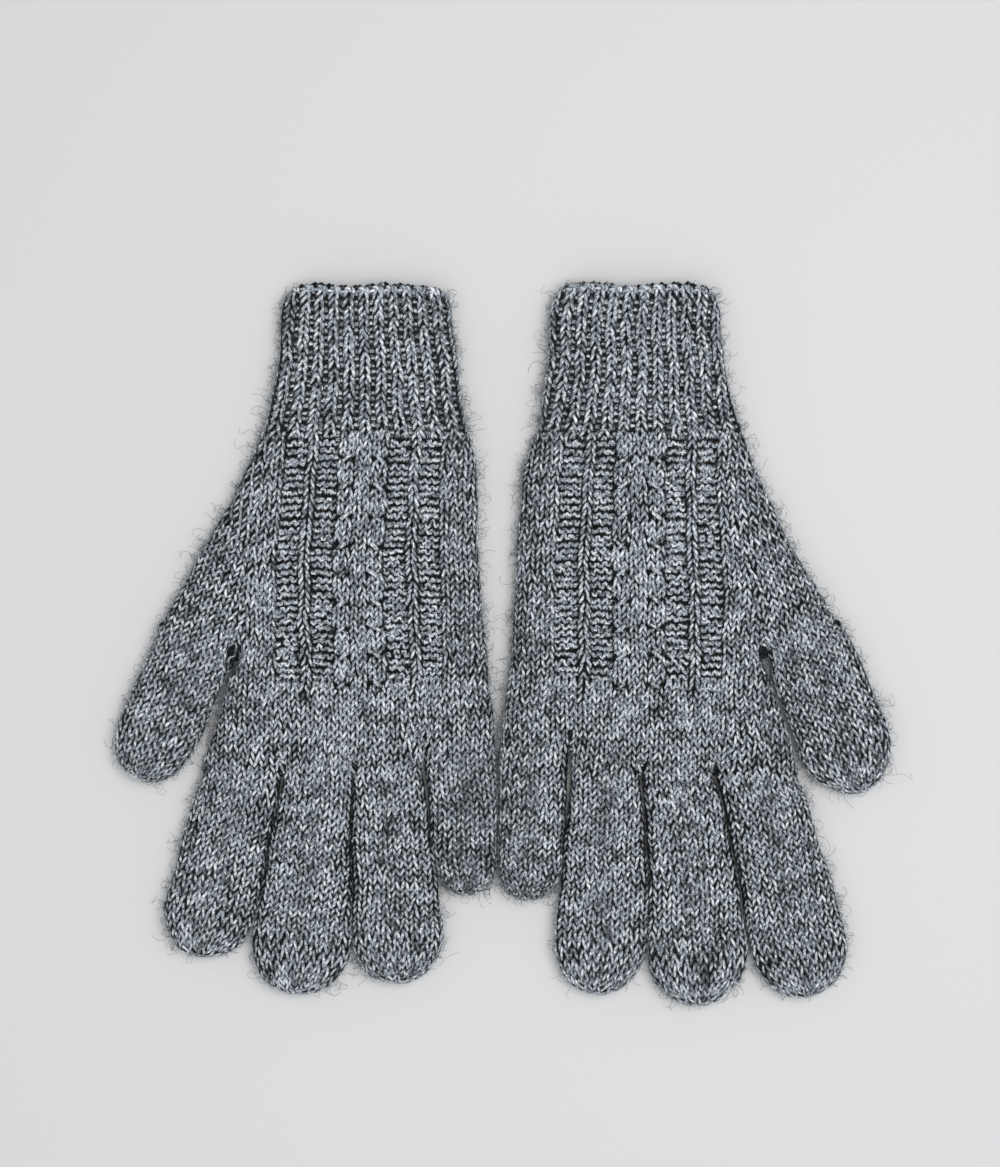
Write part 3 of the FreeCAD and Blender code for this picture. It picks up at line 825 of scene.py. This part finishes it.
def hand(side, random):
    """Back, palm and gusset of one glove, knitted together: a yarn and sheets of painted shade for each."""
    parts = {key: (Yarn(), []) for key in ("back", "palm", "gusset")}
    near_rim, far_rim = PLACES - RIM_PLACES / 2, FLAT_PLACES + RIM_PLACES / 2
    kinds = (
        (upper_hand_loop, 0, CROTCH_COURSE),
        (partial(lower_hand_loop, False), CROTCH_COURSE, NOTCH_COURSE),
        (partial(lower_hand_loop, True), NOTCH_COURSE, KNUCKLE_COURSE),
    )
    upper, middle, lower = (
        Surface(partial(loop_at, side), first - SPARE, last + SPARE) for loop_at, first, last in kinds
    )
    for course in range(KNUCKLE_COURSE):
        above = course < CROTCH_COURSE
        surface = upper if above else middle if course < NOTCH_COURSE else lower
        along, near, line, width, _ = hand_row(course)
        loop = Round(surface, course)
        runs = hand_runs(loop, course)
        phases, arcs = loop.points(runs)
        places = loop.place_at(arcs)
        drifting = 0.0
        if course + 1 not in (CROTCH_COURSE, NOTCH_COURSE):
            following = hand_runs(Round(surface, course + 1), course + 1)
            drifting = drift(loop, runs, following, arcs) if len(runs) == len(following) else 0.0
        style = back_style(phases, places, along)
        if along > PANEL_END:
            style.cross = partial(cable_cross, course)
        made = knit_course(surface, course, loop, phases, arcs, style, random, drifting)
        if above:
            across, _ = flat_loop(width, HAND_RIM, HALF_HEIGHT)
            spots = np.arange(FLAT_PLACES + RIM_PLACES // 2)
            cut = float(np.interp(line - near, across[spots], spots))
            under_cut = 2 * far_rim - 1 - cut
            shares = {"back": (near_rim, cut), "gusset": (cut, under_cut), "palm": (under_cut, near_rim)}
        else:
            shares = {"back": (near_rim, far_rim), "palm": (far_rim, near_rim)}
        for key, (start, end) in shares.items():
            chosen = half(places, start, end)
            if chosen is not None:
                parts[key][0].add(*(values[chosen] for values in made))
    spans = {"back": (near_rim - PLACES, far_rim), "palm": (far_rim, near_rim)}
    zones = [
        (upper, -0.5, CROTCH_COURSE),
        (middle, CROTCH_COURSE - 0.5, NOTCH_COURSE),
        (lower, NOTCH_COURSE, KNUCKLE_COURSE - 0.5),
    ]
    for key, (start, end) in spans.items():
        for surface, first, last in zones:
            parts[key][1].append(shade_sheet(surface, first, last, start, end))
    return parts, zones


def thumb_root():
    """Across and along of the middle of the thumb's first course."""
    lean = math.radians(THUMB_TURN)
    return CROTCH_ACROSS + THUMB_ROOT / 2 * math.cos(lean), CROTCH + THUMB_ROOT / 2 * math.sin(lean)


def gusset_middle(line, along, turn):
    """How far past the hand's edge a course meets the middle line of the thumb."""
    lean = math.radians(THUMB_TURN)
    root_across, root_along = thumb_root()
    square = (root_across - line) * math.cos(lean) + (root_along - along) * math.sin(lean)
    return square / math.cos(lean - turn)


def digit(tube, first_phase, random):
    """One finger or the thumb: its wales run from the root to the tip and close in at the end."""
    surface = Surface(tube.loop_at, -SPARE, tube.courses + 1.5)
    surface.pressed = [rim for rim, skin in enumerate(tube.skins[::-1]) if skin is INNER]
    yarn = Yarn()
    flat = np.arange(FLAT_PLACES)

    def stitch_at(course):
        shrink, widening = tube.shape(course)
        wales = next(wales for share, wales in DECREASES if shrink > share)
        return STITCH_WIDTH * (DIGIT_STITCH + DIGIT_WIDENING * widening) * shrink * wales

    def runs_at(loop, stitch):
        runs = []
        for start, hold in ((0, TOP_HOLD), (FLAT_PLACES + RIM_PLACES, UNDER_HOLD)):
            arcs = loop.arc_at(start + flat)
            phases = (arcs - (arcs[0] + arcs[-1]) / 2) / stitch + first_phase
            runs.append(loop.run(start + flat, phases, hold, hold, stitch))
        return runs

    for course in range(tube.courses + 1):
        loop = Round(surface, course)
        stitch = stitch_at(course)
        runs = runs_at(loop, stitch)
        phases, arcs = loop.points(runs, stitch)
        drifting = drift(loop, runs, runs_at(Round(surface, course + 1), stitch_at(course + 1)), arcs)
        if course >= tube.straight:
            drifting = 0.0
        style = Style(len(phases))
        style.closing = float(smooth(1 - (tube.courses - course) / CLOSING_COURSES))
        line, normal, radius, depth = knit_course(
            surface, course, loop, phases, arcs, style, random, drifting
        )
        rim, past_flat = np.divmod(loop.place_at(arcs) - FLAT_PLACES, PLACES // 2)
        in_slit = (past_flat < RIM_PLACES) & np.isin(rim, surface.pressed)
        # painted shade: yarn low on a rim that presses against the next finger is painted darker, over the
        # pressed part of the finger
        sunk = in_slit * smooth(1 - np.abs(line[:, 2] - TOP / 2) / CREASE_REACH)
        dark = CREASE_SHADE * sunk * smooth((PRESSED * tube.courses - course) / TIP_COURSES)
        yarn.add(line, normal, radius * (TIP_YARN + DIGIT_PLUMP * tube.shape(course)[0]), depth - dark)
    shade_sheets = [shade_sheet(surface, -0.5, tube.courses + 0.4, 0, PLACES)]
    return yarn, shade_sheets, [(surface, 0, tube.courses - BARE_COURSES)]


def hair_roots(zones, random):
    """Where loose fibres leave the wool, and the fabric's normal there."""
    roots = []
    for surface, first, last in zones:
        course = random.uniform(first, last, int(HAIRS_PER_COURSE * (last - first)))
        rim = random.integers(0, 2, len(course))
        on_rim = FLAT_PLACES + random.uniform(0, RIM_PLACES, len(course)) + rim * (PLACES // 2)
        anywhere = random.uniform(0, PLACES, len(course))
        place = np.where(random.uniform(size=len(course)) < RIM_HAIRS, on_rim, anywhere)
        kept = ~(np.isin(rim, surface.pressed) & (place == on_rim) & (course < PRESSED * last))
        course, place = course[kept], place[kept]
        roots.append(surface.on(course, place))
    return [np.concatenate(part) for part in zip(*roots)]


def hair_lines(point, normal, random):
    """A curly line from each root: an array of hair, point along it, place."""
    count = len(point)
    heading = unit(random.normal(size=(count, 3)) + normal * random.uniform(*HAIR_OUTWARD, (count, 1)))
    length = HAIR_LENGTH * np.exp(HAIR_SPREAD * random.normal(size=(count, 1)))
    step = np.clip(length, SHORTEST_HAIR, LONGEST_HAIR) / (HAIR_POINTS - 1)
    curl = HAIR_CURL * random.normal(size=(count, 3))
    point = point + normal * HAIR_ROOT
    lines = []
    for _ in range(HAIR_POINTS):
        lines.append(point)
        heading = unit(heading + np.cross(curl, heading) * step)
        curl = curl + CURL_CHANGE * HAIR_CURL * random.normal(size=(count, 3)) * np.sqrt(step)
        point = point + heading * step
        point[:, 2] = np.clip(point[:, 2], 2 * HAIR_RADIUS, HIGHEST_HAIR)
    return np.stack(lines, 1)


def fuzz(zones, random):
    """Loose curly fibres that stand out of the wool all over, each a thin closed tube."""
    lines = hair_lines(*hair_roots(zones, random), random)
    step = np.gradient(lines, axis=1)
    side = unit(np.cross(step, NO_HAIR))
    up = unit(np.cross(side, step))
    k = np.arange(HAIR_SIDES)
    ring = around(side, up, 2 * math.pi * k / HAIR_SIDES)
    vertices = (lines[:, :, None] + HAIR_RADIUS * ring).reshape(-1, 3)
    per_hair = HAIR_POINTS * HAIR_SIDES
    firsts = (np.arange(len(lines)) * per_hair)[:, None, None]
    quads = (grid_faces(HAIR_POINTS, HAIR_SIDES, True) + firsts).reshape(-1, 4)
    ends = (np.array([k[::-1], k + per_hair - HAIR_SIDES]) + firsts).reshape(-1, HAIR_SIDES)
    return plain_part(vertices, quads, ends)


# ---- wool, lining and fuzz


def node(tree, kind, inputs=None, **settings):
    made = tree.nodes.new(kind)
    for key, value in settings.items():
        setattr(made, key, value)
    for key, value in (inputs or {}).items():
        if isinstance(value, bpy.types.NodeSocket):
            tree.links.new(value, made.inputs[key])
        else:
            made.inputs[key].default_value = value
    return made


def new_material(name):
    material = bpy.data.materials.new(name)
    material.use_nodes = True
    return material, material.node_tree, material.node_tree.nodes["Principled BSDF"]


def ramp(tree, value, stops):
    made = node(tree, "ShaderNodeValToRGB", {"Fac": value})
    elements = made.color_ramp.elements
    while len(elements) < len(stops):
        elements.new(0.5)
    for element, (position, colour) in zip(elements, stops):
        element.position = position
        element.color = (*colour, 1)
    return made.outputs["Color"]


def grey(value, cool=0.12):
    """A slightly blue grey of about this brightness."""
    return (value * (1 - cool), value, value * (1 + cool))


def noise(tree, fibre, pace, detail, roughness=0.5):
    """Random shades along and round the yarn; pace is how fast they change to each millimetre."""
    place = node(tree, "ShaderNodeVectorMath", {0: fibre, 1: pace}, operation="MULTIPLY").outputs[0]
    inputs = {"Vector": place, "Scale": 1.0, "Detail": detail, "Roughness": roughness}
    return node(tree, "ShaderNodeTexNoise", inputs).outputs["Fac"]


def wool_material(name):
    """Heathered grey wool: dark and light fibres laid along the twisted yarn, with painted shade where the
    yarn lies deep in the fabric.
    """
    material, tree, shader = new_material(name)
    fibre = node(tree, "ShaderNodeAttribute", attribute_name="fibre").outputs["Vector"]
    depth = node(tree, "ShaderNodeAttribute", attribute_name="depth").outputs["Fac"]
    out = node(tree, "ShaderNodeMath", {0: depth}, operation="ABSOLUTE").outputs[0]
    streaks = noise(tree, fibre, (0.33, 1.05, 1.05), 2.0, 0.6)
    patches = noise(tree, fibre, (0.03, 0.12, 0.12), 3.0)
    shade = node(
        tree, "ShaderNodeMath", {0: patches, 1: 0.4, 2: streaks}, operation="MULTIPLY_ADD"
    ).outputs[0]
    stops = [
        (0.50, grey(0.05)),
        (0.61, grey(0.21)),
        (0.69, grey(0.39)),
        (0.77, grey(0.66, 0.07)),
        (0.87, grey(0.95, 0.03)),
    ]
    fibres = ramp(tree, shade, stops)
    # painted shade: the colour of yarn that lies deep in the fabric is darkened nearly to black
    lit = node(
        tree,
        "ShaderNodeMapRange",
        {"Value": out, "From Min": 0.56, "From Max": 1.17, "To Min": 0.01, "To Max": 1.0},
        interpolation_type="SMOOTHSTEP",
    ).outputs["Result"]
    colour = node(tree, "ShaderNodeVectorMath", {0: fibres, "Scale": lit}, operation="SCALE").outputs[0]
    tree.links.new(colour, shader.inputs["Base Color"])
    shader.inputs["Roughness"].default_value = 0.85
    shader.inputs["Specular IOR Level"].default_value = 0.15
    shader.inputs["Sheen Weight"].default_value = 0.08
    bump = node(tree, "ShaderNodeBump", {"Height": streaks, "Strength": 0.6, "Distance": 0.0006})
    tree.links.new(bump.outputs["Normal"], shader.inputs["Normal"])
    return material


def plain_material(name, colour, roughness):
    material, _, shader = new_material(name)
    shader.inputs["Base Color"].default_value = (*colour, 1)
    shader.inputs["Roughness"].default_value = roughness
    shader.inputs["Specular IOR Level"].default_value = 0.2
    return material


# ---- the pair of gloves


def wool_piece(name, yarn, shade_sheets, materials):
    quads = np.concatenate([quad for quad, end in yarn.faces])
    ends = np.concatenate([end for quad, end in yarn.faces])
    vertices, fibre, depth = (np.concatenate(part) for part in (yarn.vertices, yarn.fibre, yarn.depth))
    parts = [(vertices, quads, ends, fibre, depth), *shade_sheets]
    return make_mesh(name, parts, [materials["wool"]] + [materials["shade_sheet"]] * len(shade_sheets))


def along_bend(tube, reached):
    """A point over the middle line of a digit, in metres."""
    across = tube.root + reached * math.sin(tube.lean)
    along = tube.along - reached * math.cos(tube.lean)
    return tube.side * (SPACE + across) * MM, along * MM, TOP * MM


def glove_digits(side):
    """The five digits of one glove: a name, a tube and the phase of its middle wale."""
    which = int(side > 0)
    for name, (edges, along, lean, tip_width, skins, *lengths) in DIGITS.items():
        middle = (edges[0] + edges[1]) / 2
        # a finger's first course follows the hand's last one
        course = NOTCH_COURSE if along == LITTLE_ROOT else KNUCKLE_COURSE
        start = WRIST - course * COURSE_HEIGHT
        length = lengths[which] - SKIN - (along - start)
        width = edges[1] - edges[0]
        tube = Digit(side, middle, start, lean, 0.0, width, tip_width, length, skins)
        yield name, tube, float(back_phase(np.array([middle]), KNUCKLES)[0])
    lean, tip_width, length = THUMBS[side]
    root, along = thumb_root()
    tube = Digit(side, root, along, lean, THUMB_TURN, THUMB_ROOT, tip_width, length - SKIN, (FREE, FREE))
    yield "thumb", tube, 0.0


def build_glove(hand_name, side, materials):
    random = np.random.default_rng(SEED + side)
    hairs = np.random.default_rng(SEED + 10 + side)

    def wool(name, yarn, shade_sheets):
        return wool_piece(f"{hand_name}_{name}_wool", yarn, shade_sheets, materials)

    def fluff(name, zones):
        return make_mesh(f"{hand_name}_{name}_fuzz", [fuzz(zones, hairs)], [materials["fuzz"]])

    body, cuff_body = f"{hand_name}_hand", f"{hand_name}_cuff"
    yarn, shade_sheets, zones = cuff(side, random)
    low, high = ((0, (WRIST + reach) * MM, TOP * MM) for reach in WRIST_FOLD)
    for piece in (wool("cuff", yarn, shade_sheets), fluff("cuff", zones)):
        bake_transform(piece)
        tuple(low)
        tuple(high)
    edge = wool("cast_on_edge", cast_on(side), [])
    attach(edge, cuff_body)
    parts, zones = hand(side, random)
    pieces = {name: wool(name, *part) for name, part in parts.items()}
    for piece in (*pieces.values(), fluff("hand", zones)):
        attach(piece, body)
    for name, tube, phase in glove_digits(side):
        yarn, shade_sheets, zones = digit(tube, phase, random)
        pieces[name] = wool(name, yarn, shade_sheets)
        low, high = (along_bend(tube, reach) for reach in DIGIT_FOLD)
        for piece in (pieces[name], fluff(name, zones)):
            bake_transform(piece)
            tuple(low)
            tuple(high)
    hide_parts(cuff_body)
    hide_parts(f"{hand_name}_cast_on_edge")
    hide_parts(body, f"{hand_name}_back_panel")
    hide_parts(f"{hand_name}_thumb_gusset")
    for name in ("thumb", *DIGITS):
        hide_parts(f"{hand_name}_{name}")


def build_gloves():
    materials = {
        "wool": wool_material("heathered_wool"),
        # painted shade: the near-black sheets inside the glove
        "shade_sheet": plain_material("inner_shadow", grey(0.012), 1.0),
        "fuzz": plain_material("loose_fibres", grey(0.1), 0.7),
    }
    for hand_name, side in SIDES.items():
        build_glove(hand_name, side, materials)


# ---- table, light and camera

TABLE_SIZE = 16.0  # metres, as are all the lengths below
WINDOW_PLACE, WINDOW_SIZE, WINDOW_POWER = (0.36, 0.1, 1.3), 0.8, 10.3
FILL_PLACE, FILL_SIZE, FILL_POWER = (-0.4, -0.35, 1.3), 1.2, 3.5
ROOM_COLOUR, ROOM_STRENGTH = (0.96, 0.975, 1.0, 1), 0.43
LENS, SENSOR = 85, 36
VIEW_HEIGHT, VIEW_ACROSS, VIEW_ALONG = 0.4576, 0.001, 0.0245


def lay_table():
    bpy.ops.mesh.primitive_plane_add(size=TABLE_SIZE, location=(0, 0, 0))
    floor = bpy.context.object
    floor.name = "floor"
    floor.data.materials.append(plain_material("pale_table", (0.712, 0.712, 0.714), 0.9))
    floor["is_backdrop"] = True


def light_room():
    world = bpy.data.worlds.new("room")
    bpy.context.scene.world = world
    world.use_nodes = True
    background = world.node_tree.nodes["Background"]
    background.inputs["Color"].default_value = ROOM_COLOUR
    background.inputs["Strength"].default_value = ROOM_STRENGTH


def area_light(name, place, size, power):
    """A square light that shines on the middle of the pair."""
    light = bpy.data.lights.new(name, "AREA")
    light.shape = "SQUARE"
    light.size = size
    light.energy = power
    lamp = bpy.data.objects.new(name, light)
    bpy.context.scene.collection.objects.link(lamp)
    lamp.location = place
    lamp.rotation_euler = (-Vector(place)).to_track_quat("-Z", "Y").to_euler()


def aim_camera():
    """Straight down, far enough up to see VIEW_HEIGHT of the table."""
    lens = bpy.data.cameras.new("camera")
    lens.lens = LENS
    lens.sensor_width = SENSOR
    camera = bpy.data.objects.new("camera", lens)
    bpy.context.scene.collection.objects.link(camera)
    bpy.context.scene.camera = camera
    camera.location = (VIEW_ACROSS, VIEW_ALONG, VIEW_HEIGHT * LENS / SENSOR)
    camera.rotation_euler = (0, 0, 0)


build_gloves()
lay_table()
light_room()
area_light("window", WINDOW_PLACE, WINDOW_SIZE, WINDOW_POWER)
area_light("fill", FILL_PLACE, FILL_SIZE, FILL_POWER)
aim_camera()
bpy.context.scene.view_settings.view_transform = "Standard"

boxes = {"cad": cad_bounds, "visual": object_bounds()}
{key: [list(corner) for corner in box] for key, box in boxes.items()}
